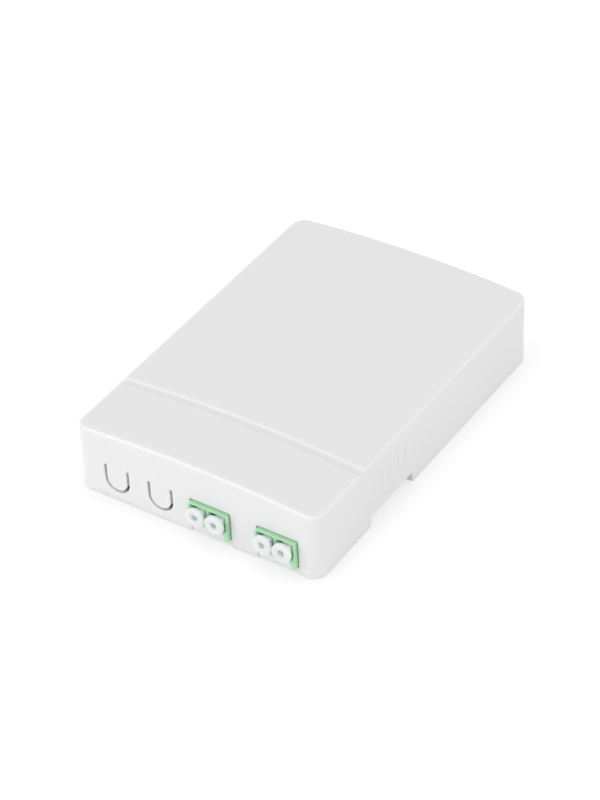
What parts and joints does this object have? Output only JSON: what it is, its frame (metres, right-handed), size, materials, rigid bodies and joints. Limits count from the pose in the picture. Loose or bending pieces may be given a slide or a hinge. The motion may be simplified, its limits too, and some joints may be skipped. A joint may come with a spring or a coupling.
{
  "type": "fibre optic distribution box",
  "caption": "Shallow white wall box with a crowned lift-off cover, capped duplex fibre adapters in its front wall and a splice tray inside.",
  "frame": {"origin": "centre of the flat face that lies against the wall", "axes": "+X along the front face to the right, +Y from the front face to the back, +Z away from the wall"},
  "size_m": [0.0808, 0.1183, 0.0239],
  "materials": {
    "cover_plastic": "fine satin white",
    "base_plastic": "satin white",
    "clamp_plastic": "satin white",
    "tray_plastic": "satin white",
    "lid_clear": "clear polished",
    "adapter_green": "semi-gloss green",
    "sleeve_ceramic": "polished white",
    "clip_steel": "bright spring steel",
    "screw_steel": "bright plated",
    "cap_plastic": "milky translucent",
    "comb_rubber": "matt soft grey"
  },
  "bodies": {
    "box_base": {"base": "base_plastic", "cable_clamp": "clamp_plastic", "clamp_screws": "screw_steel", "splice_tray": "tray_plastic", "tray_lid": "lid_clear", "splice_comb": "comb_rubber", "left_adapter_front": "adapter_green", "left_adapter_rear": "adapter_green", "left_adapter_sleeves": "sleeve_ceramic", "left_adapter_clip": "clip_steel", "right_adapter_front": "adapter_green", "right_adapter_rear": "adapter_green", "right_adapter_sleeves": "sleeve_ceramic", "right_adapter_clip": "clip_steel"},
    "cover": {"cover": "cover_plastic"},
    "front_cap_1": {"front_cap_1": "cap_plastic"},
    "front_cap_2": {"front_cap_2": "cap_plastic"},
    "front_cap_3": {"front_cap_3": "cap_plastic"},
    "front_cap_4": {"front_cap_4": "cap_plastic"},
    "rear_cap_1": {"rear_cap_1": "cap_plastic"},
    "rear_cap_2": {"rear_cap_2": "cap_plastic"},
    "rear_cap_3": {"rear_cap_3": "cap_plastic"},
    "rear_cap_4": {"rear_cap_4": "cap_plastic"}
  },
  "joints": [
    {"name": "cover_lift", "type": "slide", "parent": "box_base", "child": "cover", "axis": [0, 0, 1], "range_m": [0, 0.03]},
    {"name": "front_cap_1_pull", "type": "slide", "parent": "box_base", "child": "front_cap_1", "axis": [0, -1, 0], "range_m": [0, 0.012]},
    {"name": "front_cap_2_pull", "type": "slide", "parent": "box_base", "child": "front_cap_2", "axis": [0, -1, 0], "range_m": [0, 0.012]},
    {"name": "front_cap_3_pull", "type": "slide", "parent": "box_base", "child": "front_cap_3", "axis": [0, -1, 0], "range_m": [0, 0.012]},
    {"name": "front_cap_4_pull", "type": "slide", "parent": "box_base", "child": "front_cap_4", "axis": [0, -1, 0], "range_m": [0, 0.012]},
    {"name": "rear_cap_1_pull", "type": "slide", "parent": "box_base", "child": "rear_cap_1", "axis": [0, 1, 0], "range_m": [0, 0.01]},
    {"name": "rear_cap_2_pull", "type": "slide", "parent": "box_base", "child": "rear_cap_2", "axis": [0, 1, 0], "range_m": [0, 0.01]},
    {"name": "rear_cap_3_pull", "type": "slide", "parent": "box_base", "child": "rear_cap_3", "axis": [0, 1, 0], "range_m": [0, 0.01]},
    {"name": "rear_cap_4_pull", "type": "slide", "parent": "box_base", "child": "rear_cap_4", "axis": [0, 1, 0], "range_m": [0, 0.01]}
  ]
}
